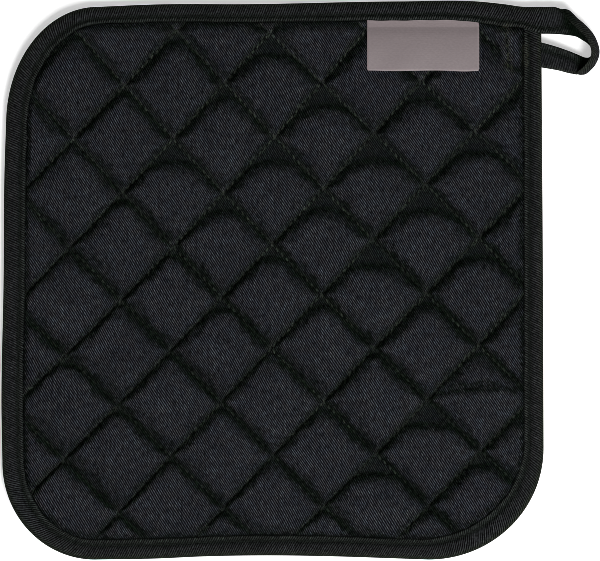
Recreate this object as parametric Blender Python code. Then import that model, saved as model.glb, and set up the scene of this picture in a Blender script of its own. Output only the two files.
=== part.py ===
"""Quilted pot holder lying flat on a surface.

A filled square of cloth is sewn through in a lattice of diamonds. A tape is folded over its
edge all the way round, the same tape makes a hanging loop at the top right corner, and a plain
woven label is caught under the tape. Seen from above, +X is right, +Y is the side with the label
and +Z is up. The origin is on the underside, at the middle of the square.
"""
import bpy
import numpy as np
from mathutils.geometry import delaunay_2d_cdt

MM = 0.001                  # metres in a millimetre; every size below is in millimetres
GAP = 0.3                   # between pieces that touch

# ---------------------------------------------------------------- the outline of the square
# Sharp corners before rounding, clockwise from above, and how far each rounding reaches along
# the side before it and the side after it.
# name             x       y      before  after
OUTER_CORNERS = (
    ("top_left",     -97.1,  100.0,  42.0,  32.9),
    ("top_right",     98.0,  100.0,   3.0,   3.0),
    ("bottom_right",  99.1, -102.0,  40.9,  42.3),
    ("bottom_left",  -99.3, -102.0,  34.3,  35.8),
)
# The same for the inner edge of the folded tape.
INNER_CORNERS = (
    ("top_left",     -89.2,   94.0,  37.2,  27.7),
    ("top_right",     91.4,   92.5,   1.0,   1.0),
    ("bottom_right",  91.7,  -94.4,  36.1,  38.7),
    ("bottom_left",  -91.2,  -94.5,  26.3,  29.6),
)
# How far the sides bow out (or in, below 0) on their way from one corner to the next.
# side      share of the side, outward offset
SIDE_WAVES = {
    "top": ((0.28, 0.9), (0.45, 1.0), (0.735, 2.0), (0.885, 1.9), (0.93, 1.0), (0.97, 0.0)),
    "right": ((0.5, 0.1),),
    "bottom": ((0.27, -0.4), (0.375, -1.1), (0.49, -1.5), (0.635, -1.1), (0.71, -0.4)),
    "left": ((0.27, 0.55), (0.5, 0.3), (0.7, 0.4)),
}
CORNER_STEPS = 11
SIDE_STEPS = 21
SHARPEST_REACH = 0.6        # least rounding of an inset corner

# ---------------------------------------------------------------- the quilting
# Every seam lies across a diagonal at: offset + tilt * run + bow * run^2, where run is the
# distance along the seam from the middle, in steps of SEAM_RUN.
SEAM_RUN = 100.0
# Falling seams run from upper left to lower right. The first and last lie outside the square.
# offset   tilt   bow
FALLING_SEAMS = (
    (-127.5,  0.0,  0.0),
    (-99.9,   0.8,  0.0),
    (-72.1,   1.7,  0.0),
    (-44.7,  -1.0,  1.0),
    (-17.7,  -1.6,  1.7),
    (9.1,    -1.5,  2.3),
    (36.8,   -1.7,  1.9),
    (64.4,    0.6, -1.9),
    (90.4,    3.4,  0.0),
    (118.1,   0.0,  0.0),
    (145.5,   0.0,  0.0),
)
# Rising seams run from lower left to upper right. The first two and the last two lie outside.
RISING_SEAMS = (
    (-143.0, -1.0,  0.0),
    (-116.0, -1.0,  0.0),
    (-88.6,  -2.3,  0.0),
    (-62.1,  -3.4, -1.8),
    (-35.1,  -3.6, -3.3),
    (-9.5,   -3.1, -1.4),
    (16.3,   -3.5,  0.3),
    (43.7,   -2.9,  0.2),
    (70.8,   -2.6, -3.1),
    (97.8,   -2.2,  0.0),
    (125.0,  -2.0,  0.0),
    (152.0,  -2.0,  0.0),
)
DIAMOND_STEPS = 6           # mesh steps across one diamond
LEAST_DEPTH = 1.6           # the steps stop this far from the tape
CROSSING_PASSES = 12        # two seams that tilt meet where repeated aiming at each other settles
ONE_POINT = 1e-5            # points nearer than this are one

# ---------------------------------------------------------------- heights
MIDDLE = 3.4                # height of the seams' middle above the surface
SEAM_HALF = 0.9             # half the thickness of the cloth where it is sewn or bound
CROWN_RISE = 3.1            # a diamond's crown above its seams
BELLY_DROP = 3.6            # its underside below its seams, before the surface flattens it
SHOULDER = 6.0              # the filling reaches its full height this far from the tape
SLUMP = 0.85                # below 1 the filling has slid towards the lower corner of a diamond
RIM_INSET = 1.3             # from the tape's outer edge to the cloth's rim inside it

# Section of the folded tape, upper half, from the bottom of its slot round to its outer edge.
# measured from, distance from it, height above the middle
TAPE_SECTION = (
    ("outer", 1.0, 1.2),
    ("inner", 0.0, 1.2),
    ("inner", 0.0, 1.8),
    ("inner", 0.7, 2.2),
    ("outer", 1.4, 2.2),
    ("outer", 0.4, 1.6),
    ("outer", 0.0, 0.6),
)

# ---------------------------------------------------------------- the hanging loop
# Three lines run along the tape: its edge beside the hole, its back, and its rim, which stands
# up at the far end of the loop. The first row is at the top leg's root.
#  hole x,  y,    z       back x,  y,    z       rim x,   y,    z
LOOP_LINES = (
    ((98.35, 90.2, 4.4), (98.35, 95.4, 4.4), (98.35, 99.9, 4.4)),
    ((103.7, 90.0, 4.3), (104.0, 95.4, 4.4), (103.3, 99.8, 4.5)),
    ((107.7, 89.7, 3.6), (107.7, 97.2, 4.0), (105.9, 97.6, 6.0)),
    ((111.0, 89.2, 2.6), (110.8, 94.9, 3.6), (109.0, 93.7, 7.0)),
    ((113.4, 87.9, 1.9), (113.9, 92.3, 3.4), (111.9, 90.9, 8.0)),
    ((115.4, 86.5, 1.5), (116.4, 89.2, 3.4), (114.3, 88.2, 8.8)),
    ((116.9, 84.3, 1.3), (118.2, 84.3, 3.8), (115.9, 84.4, 9.2)),
    ((115.9, 81.7, 1.4), (117.6, 80.7, 3.8), (115.7, 81.6, 8.9)),
    ((113.9, 81.5, 2.0), (115.5, 77.8, 3.5), (114.1, 78.9, 7.8)),
    ((111.2, 82.6, 2.6), (113.0, 76.4, 3.2), (111.9, 76.9, 5.7)),
    ((108.0, 83.9, 3.0), (109.2, 78.1, 3.1), (109.3, 75.6, 3.7)),
    ((103.3, 85.5, 3.3), (103.7, 79.7, 3.3), (104.0, 76.8, 3.4)),
    ((98.35, 86.9, 3.4), (98.35, 80.5, 3.4), (98.35, 77.7, 3.4)),
)
LOOP_STEPS = 36             # mesh steps along the loop
BACK_SHARE = 0.55           # where the back lies on the tape's width, from the hole to the rim
# Section across the loop's tape: share of the width from the hole edge, half the thickness there.
LOOP_SECTION = ((0.0, 0.45), (0.1, 0.9), (0.4, 0.95), (0.7, 1.0), (0.92, 1.1), (1.0, 0.6))

# ---------------------------------------------------------------- the label
LABEL_LEFT = 34.3
LABEL_RIGHT = 75.2
LABEL_THICKNESS = 1.0
# Its underside from the edge caught under the tape down to its free edge: y, z.
LABEL_PROFILE = ((97.3, 3.3), (94.2, 3.3), (92.0, 4.6), (89.5, 5.6), (86.0, 6.1), (81.0, 6.2), (76.5, 6.0))
PRESS_MARGIN = 6.5          # the label presses the filling down this far past its edges
PRESS_CLEARANCE = 0.4

# ---------------------------------------------------------------- finishes
SHARP_ANGLE = 50.0          # degrees; faces that meet less steeply are shaded as one surface
# piece             colour (linear)            roughness
FINISHES = {
    "quilted_panel": ((0.014, 0.015, 0.019), 0.85),
    "edge_binding": ((0.011, 0.012, 0.013), 0.80),
    "hanging_loop": ((0.011, 0.012, 0.013), 0.80),
    "label": ((0.235, 0.195, 0.200), 0.45),
}


def curve_through(knots, values, at):
    """Smooth cubic through values at knots. A knot's slope is worked out from its neighbours."""
    knots = np.asarray(knots, float)
    values = np.asarray(values, float)
    at = np.asarray(at, float)
    slopes = np.gradient(values, knots, axis=0)
    low = np.clip(np.searchsorted(knots, at, side="right") - 1, 0, len(knots) - 2)
    step = knots[low + 1] - knots[low]
    t = (at - knots[low]) / step
    if values.ndim > 1:
        t = t[:, None]
        step = step[:, None]
    return (
        (2 * t**3 - 3 * t**2 + 1) * values[low]
        + (t**3 - 2 * t**2 + t) * step * slopes[low]
        + (3 * t**2 - 2 * t**3) * values[low + 1]
        + (t**3 - t**2) * step * slopes[low + 1]
    )


def outline(corners, inset=0.0):
    """Points round the square, clockwise: a quarter ellipse at a corner, then its waved side."""
    spots = np.array([(x - np.sign(x) * inset, y - np.sign(y) * inset) for _, x, y, _, _ in corners])
    reach_before = np.array([max(row[3] - inset, SHARPEST_REACH) for row in corners])
    reach_after = np.array([max(row[4] - inset, SHARPEST_REACH) for row in corners])
    angle = np.linspace(0.0, np.pi / 2, CORNER_STEPS + 1)[:, None]
    points = []
    for here, side in enumerate(SIDE_WAVES):
        ahead_of = (here + 1) % len(corners)
        back = spots[here - 1] - spots[here]
        back /= np.linalg.norm(back)
        ahead = spots[ahead_of] - spots[here]
        length = np.linalg.norm(ahead)
        ahead /= length
        outward = np.array((-ahead[1], ahead[0]))
        points.append(
            spots[here]
            + (1 - np.sin(angle)) * back * reach_before[here]
            + (1 - np.cos(angle)) * ahead * reach_after[here]
        )
        start = reach_after[here] / length
        end = 1 - reach_before[ahead_of] / length
        shares = np.linspace(start, end, SIDE_STEPS + 1)[1:-1]
        wave_at = [start] + [share for share, _ in SIDE_WAVES[side]] + [end]
        wave = [0.0] + [offset for _, offset in SIDE_WAVES[side]] + [0.0]
        offsets = curve_through(wave_at, wave, shares)
        points.append(spots[here] + np.outer(shares * length, ahead) + np.outer(offsets, outward))
    return np.concatenate(points)


def depth_inside(points, ring):
    """Distance of each point from a closed ring, above 0 inside it."""
    start = ring
    edge = np.roll(ring, -1, axis=0) - start
    to_point = points[:, None, :] - start
    share = np.clip((to_point * edge).sum(axis=2) / (edge**2).sum(axis=1), 0, 1)
    distance = np.linalg.norm(to_point - share[..., None] * edge, axis=2).min(axis=1)
    x, y = points[:, 0:1], points[:, 1:2]
    end = start + edge
    spans = (start[:, 1] > y) != (end[:, 1] > y)
    rise = np.where(edge[:, 1] == 0, 1.0, edge[:, 1])
    crossing = start[:, 0] + (y - start[:, 1]) / rise * edge[:, 0]
    inside = (spans & (x < crossing)).sum(axis=1) % 2 == 1
    return np.where(inside, distance, -distance)


def seam_lines(seams, along):
    """Where every seam lies at distances `along` from the middle: one row for each seam."""
    offset, tilt, bow = np.array(seams).T[:, :, None]
    run = along / SEAM_RUN
    return offset + tilt * run + bow * run**2


def diamond_place(seams, across, along):
    """Number of the seam before a point, plus the share of the way to the next seam."""
    lines = seam_lines(seams, along)
    before = np.clip((lines <= across).sum(axis=0) - 1, 0, len(seams) - 2)
    columns = np.arange(len(across))
    low = lines[before, columns]
    high = lines[before + 1, columns]
    return before + (across - low) / (high - low)


def lattice_points():
    """Crossing points of the seams and of the even steps between them, over the whole square."""
    falling_place = np.arange(0, len(FALLING_SEAMS) - 1, 1 / DIAMOND_STEPS)
    rising_place = np.arange(0, len(RISING_SEAMS) - 1, 1 / DIAMOND_STEPS)
    place_f, place_r = (grid.ravel() for grid in np.meshgrid(falling_place, rising_place))
    columns = np.arange(len(place_f))
    before_f = place_f.astype(int)
    before_r = place_r.astype(int)
    up_right = np.zeros(len(columns))
    down_right = np.zeros(len(columns))
    for _ in range(CROSSING_PASSES):
        lines_f = seam_lines(FALLING_SEAMS, down_right)
        low, high = lines_f[before_f, columns], lines_f[before_f + 1, columns]
        up_right = low + (place_f - before_f) * (high - low)
        lines_r = seam_lines(RISING_SEAMS, up_right)
        low, high = lines_r[before_r, columns], lines_r[before_r + 1, columns]
        down_right = low + (place_r - before_r) * (high - low)
    return np.column_stack((up_right + down_right, up_right - down_right)) / np.sqrt(2)


def hump(share):
    """1 halfway along, falling to 0 at both ends."""
    return 4 * share * (1 - share)


def fullness(points, tape_edge):
    """How full the filling is: 1 on a diamond's crown, 0 on its seams and under the tape."""
    up_right = (points[:, 0] + points[:, 1]) / np.sqrt(2)
    down_right = (points[:, 0] - points[:, 1]) / np.sqrt(2)
    share_f = (diamond_place(FALLING_SEAMS, up_right, down_right) % 1) ** SLUMP
    share_r = 1 - (1 - diamond_place(RISING_SEAMS, down_right, up_right) % 1) ** SLUMP
    diamond = np.sqrt(np.clip(hump(share_f) * hump(share_r), 0, 1))
    shoulder = np.clip(depth_inside(points, tape_edge) / SHOULDER, 0, 1)
    return diamond * np.sqrt(1 - (1 - shoulder) ** 2)


def label_underside(y):
    """Height of the label's underside at each y, along its profile."""
    rows = sorted(LABEL_PROFILE)
    return np.interp(y, [row[0] for row in rows], [row[1] for row in rows])


def panel_heights(points, tape_edge):
    """Top and underside of the quilted square at each point."""
    full = fullness(points, tape_edge)
    top = MIDDLE + SEAM_HALF + full * CROWN_RISE
    under_label = (
        (points[:, 0] > LABEL_LEFT - PRESS_MARGIN)
        & (points[:, 0] < LABEL_RIGHT + PRESS_MARGIN)
        & (points[:, 1] > LABEL_PROFILE[-1][0] - PRESS_MARGIN)
    )
    pressed = np.minimum(top, label_underside(points[:, 1]) - GAP)
    well_inside = depth_inside(points, tape_edge) > 2 * GAP
    pressed = np.where(well_inside, pressed - (PRESS_CLEARANCE - GAP), pressed)
    top = np.where(under_label, pressed, top)
    bottom = np.maximum(MIDDLE - SEAM_HALF - full * BELLY_DROP, 0.0)
    return top, bottom


def add_piece(name, points, faces):
    """Make one named object from points in millimetres, with its own material."""
    mesh = bpy.data.meshes.new(name)
    mesh.from_pydata((np.asarray(points) * MM).tolist(), [], [list(face) for face in faces])
    mesh.update()
    mesh.shade_smooth()
    mesh.set_sharp_from_angle(angle=np.radians(SHARP_ANGLE))
    material = bpy.data.materials.new(name)
    material.use_nodes = True
    shader = material.node_tree.nodes["Principled BSDF"]
    colour, roughness = FINISHES[name]
    shader.inputs["Base Color"].default_value = (*colour, 1.0)
    shader.inputs["Roughness"].default_value = roughness
    shader.inputs["Metallic"].default_value = 0.0
    mesh.materials.append(material)
    piece = bpy.data.objects.new(name, mesh)
    bpy.context.scene.collection.objects.link(piece)
    return piece


def tube_faces(rings, ring_size, closed):
    """Faces between rings of points; a tube that isn't closed on itself gets a cap at each end."""
    faces = []
    for here in range(rings if closed else rings - 1):
        there = (here + 1) % rings
        for side in range(ring_size):
            next_side = (side + 1) % ring_size
            faces.append((
                here * ring_size + side,
                there * ring_size + side,
                there * ring_size + next_side,
                here * ring_size + next_side,
            ))
    if not closed:
        faces.append(tuple(range(ring_size)))
        faces.append(tuple((rings - 1) * ring_size + side for side in reversed(range(ring_size))))
    return faces


def make_panel():
    """The filled square: one triangle net for its top and its underside, joined round its rim."""
    outer = outline(OUTER_CORNERS)
    inner = outline(INNER_CORNERS)
    tape_width = np.linalg.norm(inner - outer, axis=1)[:, None]
    rim = outer + (inner - outer) * RIM_INSET / tape_width
    tape_edge = outline(INNER_CORNERS, inset=GAP)
    lattice = lattice_points()
    lattice = lattice[depth_inside(lattice, tape_edge) > LEAST_DEPTH]
    flat_points = np.concatenate((rim, tape_edge, lattice))
    ring_size = len(rim)
    ring_edges = [
        (start + place, start + (place + 1) % ring_size)
        for start in (0, ring_size)
        for place in range(ring_size)
    ]
    inside_only = 1
    net = delaunay_2d_cdt(
        flat_points.tolist(), ring_edges, [list(range(ring_size))], inside_only, ONE_POINT
    )
    net_points = np.array([tuple(point) for point in net[0]])
    triangles = []
    for a, b, c in net[2]:
        ab, ac = net_points[b] - net_points[a], net_points[c] - net_points[a]
        upward = ab[0] * ac[1] - ab[1] * ac[0] > 0
        triangles.append((a, b, c) if upward else (a, c, b))
    top, bottom = panel_heights(net_points, tape_edge)
    count = len(net_points)
    points = np.concatenate((np.column_stack((net_points, top)), np.column_stack((net_points, bottom))))
    faces = list(triangles)
    faces += [(a + count, c + count, b + count) for a, b, c in triangles]
    uses = {}
    for a, b, c in triangles:
        for edge in ((a, b), (b, c), (c, a)):
            uses[frozenset(edge)] = edge if frozenset(edge) not in uses else None
    faces += [(edge[1], edge[0], edge[0] + count, edge[1] + count) for edge in uses.values() if edge]
    return add_piece("quilted_panel", points, faces)


def make_binding():
    """The tape folded over the rim: its C-shaped section carried round the outline."""
    outer = outline(OUTER_CORNERS)
    inner = outline(INNER_CORNERS)
    width = np.linalg.norm(inner - outer, axis=1)
    inward = (inner - outer) / width[:, None]
    lower_half = [(edge, distance, -height) for edge, distance, height in reversed(TAPE_SECTION)]
    section = list(TAPE_SECTION) + lower_half
    columns = []
    for edge, distance, height in section:
        place = distance if edge == "outer" else width - distance
        flat = outer + inward * np.broadcast_to(place, width.shape)[:, None]
        columns.append(np.column_stack((flat, np.full(len(flat), MIDDLE + height))))
    points = np.stack(columns, axis=1).reshape(-1, 3)
    return add_piece("edge_binding", points, tube_faces(len(outer), len(section), closed=True))


def make_loop():
    """The hanging loop: a flat tape along three lines, which stands on edge at its far end."""
    knots = np.arange(len(LOOP_LINES))
    along = np.linspace(0, knots[-1], LOOP_STEPS + 1)
    hole, back, rim = (curve_through(knots, [row[line] for row in LOOP_LINES], along) for line in range(3))
    bulge = back - (hole + (rim - hole) * BACK_SHARE)
    shares = [row[0] for row in LOOP_SECTION]
    middle = []
    for share in shares:
        straight = hole + (rim - hole) * share
        middle.append(straight + bulge * hump(share) / hump(BACK_SHARE))
    middle = np.stack(middle, axis=1)
    across = np.gradient(middle, shares, axis=1)
    forward = np.gradient(middle, along, axis=0)
    face = np.cross(forward, across)
    face /= np.linalg.norm(face, axis=2)[..., None]
    half = np.array([row[1] for row in LOOP_SECTION])[None, :, None]
    for root in (0, -1):
        face[root, :, 0] = 0.0      # keeps the cut end in one plane, square to the binding's side
    sides = np.concatenate((middle + face * half, (middle - face * half)[:, ::-1]), axis=1)
    faces = tube_faces(len(along), 2 * len(shares), closed=False)
    return add_piece("hanging_loop", sides.reshape(-1, 3), faces)


def make_label():
    """The plain label: a thin strip along its profile, lying over the filling."""
    corners = ((LABEL_RIGHT, 0.0), (LABEL_LEFT, 0.0), (LABEL_LEFT, 1.0), (LABEL_RIGHT, 1.0))
    points = [(x, y, z + layer * LABEL_THICKNESS) for y, z in LABEL_PROFILE for x, layer in corners]
    return add_piece("label", points, tube_faces(len(LABEL_PROFILE), len(corners), closed=False))


def main():
    for leftover in list(bpy.data.objects):
        bpy.data.objects.remove(leftover, do_unlink=True)
    make_panel()
    make_binding()
    make_loop()
    make_label()


main()
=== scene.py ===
"""Looks of the quilted pot holder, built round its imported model.

A filled square of dark twill is sewn through in diamonds and bound with a folded tape, which runs
on past the top right corner as the hanging loop. A plain label is caught under the tape. Sizes are
in millimetres unless a name says otherwise; +Y is the side with the label and +Z is up.
"""
import bpy
import numpy as np
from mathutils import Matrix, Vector


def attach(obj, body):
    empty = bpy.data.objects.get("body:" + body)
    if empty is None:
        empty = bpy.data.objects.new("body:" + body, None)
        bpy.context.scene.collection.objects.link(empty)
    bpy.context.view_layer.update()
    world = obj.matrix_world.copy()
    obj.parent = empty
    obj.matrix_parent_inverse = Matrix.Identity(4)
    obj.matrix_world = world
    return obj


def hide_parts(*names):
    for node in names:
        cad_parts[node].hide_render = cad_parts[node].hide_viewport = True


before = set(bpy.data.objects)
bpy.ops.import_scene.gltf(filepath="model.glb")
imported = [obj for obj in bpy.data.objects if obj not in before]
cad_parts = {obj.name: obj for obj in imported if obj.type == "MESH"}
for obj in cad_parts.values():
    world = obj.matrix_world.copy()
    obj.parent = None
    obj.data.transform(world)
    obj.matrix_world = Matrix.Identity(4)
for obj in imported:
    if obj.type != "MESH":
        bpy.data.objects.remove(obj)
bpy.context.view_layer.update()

MM = 0.001                  # metres in a millimetre
WHITE = (1.0, 1.0, 1.0, 1.0)

# ---------------------------------------------------------------- camera and light
VIEW_WIDTH = 219.0          # what the picture's width covers
VIEW_CENTRE = (9.855, 0.0)
CAMERA_HEIGHT = 1500.0
SUBJECT_HEIGHT = 5.0        # the height at which the width above holds
SENSOR_WIDTH = 36.0
PIXEL_FILTER = 0.8          # pixels: the twill's lines are two pixels apart
FLOOR_HALF = 3000.0
FLOOR_COLOUR = (0.86, 0.86, 0.86)
FLOOR_GLOW = 0.45           # the floor gives off light of its own, so that it stays white
WORLD_LIGHT = 0.20
LIGHT_PLACE = (450.0, -800.0, 1300.0)
LIGHT_TARGET = (10.0, 0.0, 0.0)
LIGHT_WIDTH = 600.0
LIGHT_WATTS = 26.0

# ---------------------------------------------------------------- outline of the square
# Sharp corners before rounding, clockwise from the top right one, and how far each rounding
# reaches along the side before it and the side after it.
#    x      y     before  after
OUTER_CORNERS = (
    (98.0,  100.0,   3.0,   3.0),
    (99.1, -102.0,  40.9,  42.3),
    (-99.3, -102.0, 34.3,  35.8),
    (-97.1, 100.0,  42.0,  32.9),
)
# The same for the inner edge of the folded tape.
INNER_CORNERS = (
    (91.4,   92.5,   1.0,   1.0),
    (91.7,  -94.4,  36.1,  38.7),
    (-91.2, -94.5,  26.3,  29.6),
    (-89.2,  94.0,  37.2,  27.7),
)
# How far the right, bottom, left and top side bow out (or in, below 0) on their way from one corner
# to the next: share of the side, outward offset.
SIDE_WAVES = (
    ((0.5, 0.1),),
    ((0.27, -0.4), (0.375, -1.1), (0.49, -1.5), (0.635, -1.1), (0.71, -0.4)),
    ((0.27, 0.55), (0.5, 0.3), (0.7, 0.4)),
    ((0.28, 0.9), (0.45, 1.0), (0.735, 2.0), (0.885, 1.9), (0.93, 1.0), (0.97, 0.0)),
)
LEAST_ROUNDING = 0.6
CORNER_STEPS = 64
SIDE_STEPS = 230
BLOCK = 3000                # points measured against the outline at a time
TAPE_START_Y = 94.5         # the tape begins here, under its own end
TAPE_TURN_X = 98.35         # and here it leaves the square and goes on as the loop
FLARE = 2.24                # the tape opens out by this much on its way to the loop
FLARE_START_X = 88.0

# ---------------------------------------------------------------- the quilting
# Every seam lies across a diagonal at: offset + tilt * run + bow * run^2, where run is the
# distance along the seam from the middle, in steps of SEAM_RUN.
SEAM_RUN = 100.0
# Falling seams run from upper left to lower right.
# offset   tilt   bow
FALLING_SEAMS = (
    (-127.5,  0.0,  0.0),
    (-99.9,   0.8,  0.0),
    (-72.1,   1.7,  0.0),
    (-44.7,  -1.0,  1.0),
    (-17.7,  -1.6,  1.7),
    (9.1,    -1.5,  2.3),
    (36.8,   -1.7,  1.9),
    (64.4,    0.6, -1.9),
    (90.4,    3.4,  0.0),
    (118.1,   0.0,  0.0),
    (145.5,   0.0,  0.0),
)
# Rising seams run from lower left to upper right.
RISING_SEAMS = (
    (-143.0, -1.0,  0.0),
    (-116.0, -1.0,  0.0),
    (-88.6,  -2.3,  0.0),
    (-62.1,  -3.4, -1.8),
    (-35.1,  -3.6, -3.3),
    (-9.5,   -3.1, -1.4),
    (16.3,   -3.5,  0.3),
    (43.7,   -2.9,  0.2),
    (70.8,   -2.6, -3.1),
    (97.8,   -2.2,  0.0),
    (125.0,  -2.0,  0.0),
    (152.0,  -2.0,  0.0),
)
DIAMOND = 27.3              # from one seam to the next
DIAMOND_STEPS = 28          # mesh steps across one diamond
SEAM_CROWDING = 0.6         # above 0 the steps are closer together beside the seams
CROSSING_PASSES = 12        # two seams that tilt meet where repeated aiming at each other settles
MIDDLE = 3.4                # height of the seams' middle above the surface
SEAM_HALF = 0.55            # half the thickness of the cloth where it is sewn
EDGE_HALF = 1.0             # and where the tape holds it
CROWN_RISE = 3.25           # a diamond's crown above its seams
BELLY_DROP = 3.4            # its underside below its seams, before the surface flattens it
BELLY_REACH = 9.0
FLAT_BLEND = 0.5            # how softly the underside meets the surface
FLAT_SINK = 0.12            # and the share of that which is cut off flat
CROWN_EDGE = 0.86           # a crown's own roundness: its height beside its edges, as a share
PLUMPNESS = 0.07            # how much the diamonds differ in height
PLUMPNESS_SEED = 7
RIM_INSET = 1.3             # from the tape's outer edge to the cloth's rim inside it
EDGE_REACH = 2.5            # this far from the tape the cloth has its thickness at the seams
RELIEF_REACH = 3.0          # and this far from it creases and puckers have their full depth
SHOULDER = 4.5              # the filling reaches its full height this far from the tape
SIDE_SHOULDER = 1.6         # and this far from it at the square's left and right sides
PUFF_POWER = 0.72           # 0.5 rises straight up from a seam, 1 at a gentle angle
HALF_SQUARE = 95.0
NEAR_SQUARE = 10.0          # points this far outside the half square are never part of the cloth
PUCKER_REACH = 3.0          # how far from the seams their puckers reach
PUCKER_FOOT = 0.8           # and how close to them the puckers begin
DRAWN_IN = 0.08             # how much longer the flat cloth is than the square it covers, as a share
# How far the slope beside each edge of a diamond reaches: in the middle of the square, and how
# much that grows to the square's right side and to its top.
# edge           middle  right   top
SLOPE_REACH = {
    "lower_left":  (4.9,  -1.2,  -1.4),
    "upper_right": (5.4,   0.9,   1.6),
    "upper_left":  (5.4,   1.6,   2.1),
    "lower_right": (2.0,  -0.1,  -0.1),
}
LEAST_REACH = 1.7
LEAST_UPPER_REACH = 0.4
UNEVEN_RANGE = (0.5, 1.7)   # least and greatest share of its reach that a slope takes
# And how far from the seam it starts.
SLOPE_FOOT = {
    "upper_right": (0.25,  0.3,   0.3),
    "upper_left":  (0.5,   0.6,   0.6),
}
# Painted light: how much paler than the painted shade of their steepness are the slopes that face
# the lower right and, at the square's top, the lower left; and how far from the seam that reaches.
PALER_BESIDE_RISING = 0.42
PALER_BESIDE_FALLING = 0.6
PALER_REACH = 2.4
# How far a slope reaches where its seam crosses another at a diamond's left or right corner, as a
# share of its reach elsewhere, and how much of the edge that takes.
CORNER_REACH = 0.3
CORNER_SHARE = 0.28
# Diamonds that are filled otherwise than the rest, by the numbers of the falling and the rising
# seam that cross at their top: how far below the crossing the filling starts, how flat the arc of
# its edge is (0 round, 1 straight across), and how much longer its slope on the lower left is.
# falling rising  apex  flat  longer
FILLINGS = (
    (5, 2, 1.8, 0.0,  0.0),
    (6, 2, 3.4, 0.15, 0.0),
    (7, 3, 7.4, 0.15, 0.0),
    (6, 3, 4.6, 0.1,  0.0),
    (5, 3, 7.6, 0.15, 0.6),
    (4, 3, 2.4, 0.1,  2.2),
    (7, 4, 7.4, 0.15, 0.0),
    (6, 4, 8.0, 0.15, 0.5),
    (5, 4, 6.0, 0.1,  2.6),
    (4, 4, 3.0, 0.1,  0.0),
    (3, 4, 1.6, 0.0,  3.2),
    (2, 4, 3.2, 0.2,  3.5),
    (8, 5, 5.4, 0.1,  0.0),
    (7, 5, 8.6, 0.15, 0.0),
    (6, 5, 6.8, 0.1,  0.0),
    (5, 5, 4.4, 0.1,  -0.6),
    (4, 5, 4.0, 0.1,  1.9),
    (3, 5, 1.3, 0.0,  2.2),
    (2, 5, 3.0, 0.1,  4.8),
    (8, 6, 6.4, 0.1,  -0.6),
    (7, 6, 8.2, 0.2,  1.2),
    (6, 6, 8.4, 0.4, 1.0),
    (5, 6, 3.6, 0.1,  2.4),
    (3, 6, 2.5, 0.1,  2.0),
    (7, 7, 6.0, 0.15, 0.0),
    (6, 7, 3.2, 0.3,  0.0),
    (5, 7, 1.6, 0.0,  1.3),
    (4, 7, 3.1, 0.1,  0.0),
    (6, 8, 2.6, 0.2,  1.0),
    (5, 8, 8.6, 0.8,  -0.6),
    (4, 8, 7.2, 0.6,  1.5),
    (5, 9, 4.7, 0.4,  0.0),
)
PLAIN_FILLING = (1.7, 0.0, 0.0)
ROUNDEST = 26.0             # largest radius of that arc
# Creases and folds: start and end, half their width, depth (below 0 a ridge), sideways bow.
#   x0      y0      x1      y1    half   depth  bow
CREASES = (
    (-39.8,  84.1,  -39.8,   63.0,  0.7,  0.7,  0.0),
    (-81.4,  67.0,  -57.7,   67.0,  1.0,  0.5,  0.0),
    (-25.9,  67.7,  -25.9,   47.6,  1.2,  0.3,  0.0),
    (-13.1,  91.4,  -14.0,   85.2,  0.8,  0.5,  0.0),
    (84.0,   91.0,   85.5,   78.0,  1.3,  0.8,  1.0),
    (83.0,   76.8,   90.5,   76.8,  1.0,  0.6,  0.0),
    (-6.6,  -48.4,    6.9,  -48.4,  1.4,  0.4,  0.0),
    (57.0,  -41.0,   91.0,  -39.0,  1.2,  2.6,  1.4),
    (56.0,  -52.0,   72.0,  -53.0,  1.6,  0.7,  0.0),
)
# Painted shade of puckers too narrow for the net: start and end, half their width, depth.
#   x0     y0     x1     y1    half  depth
PAINTED_PUCKER_SHADES = (
    (84.7,  92.0,  86.2,  78.0,  0.5,  0.85),
    (85.0,  78.4,  91.0,  76.0,  1.3,  0.85),
)
# The falling seam that isn't to be seen past some place: its number, and where it fades and is gone.
FADED_SEAM = (9, 80.5, 84.5)
# Kinds of unevenness, each a sum of hills: their height, how far they are across, and their seed.
HILLS = {
    "slopes":         ((0.18, 11.0, 2), (0.26, 3.6, 4)),
    "puckers":        ((0.42, 4.2, 3),),
    "ripples":        ((0.17, 14.0, 5), (0.07, 6.0, 6)),
    "belly":          ((0.10, 12.0, 9),),
    "cloth sideways": ((0.50, 60.0, 11),),
    "cloth upwards":  ((0.50, 60.0, 12),),
    "tape":           ((0.07, 9.0, 21),),
    "tape edge":      ((0.12, 12.0, 22),),
    "label edge":     ((0.12, 18.0, 31),),
    "label":          ((0.10, 16.0, 32),),
}
HILL_WAVES = 14
# Rubbed places with pale flecks: start and end, half their width.
#   x0     y0     x1     y1    half
WORN_PLACES = (
    (85.2,  92.8,  86.0,  77.0,  1.3),
    (92.3,  85.2,  92.3,  79.0,  0.9),
)

# ---------------------------------------------------------------- the tape
# Half of its section, from the lip on the cloth over its outside to its outer edge.
# measured from, distance from it, height above the middle
TAPE_OUTSIDE = (
    ("inner", 0.0,  1.5),
    ("inner", 0.12, 1.88),
    ("inner", 0.65, 2.2),
    ("inner", 1.35, 2.05),
    ("inner", 2.15, 1.55),
    ("inner", 2.8,  1.9),
    ("inner", 3.5,  2.25),
    ("outer", 2.9,  2.35),
    ("outer", 1.7,  2.15),
    ("outer", 0.8,  1.6),
    ("outer", 0.2,  0.8),
    ("outer", 0.0,  0.0),
)
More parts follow.
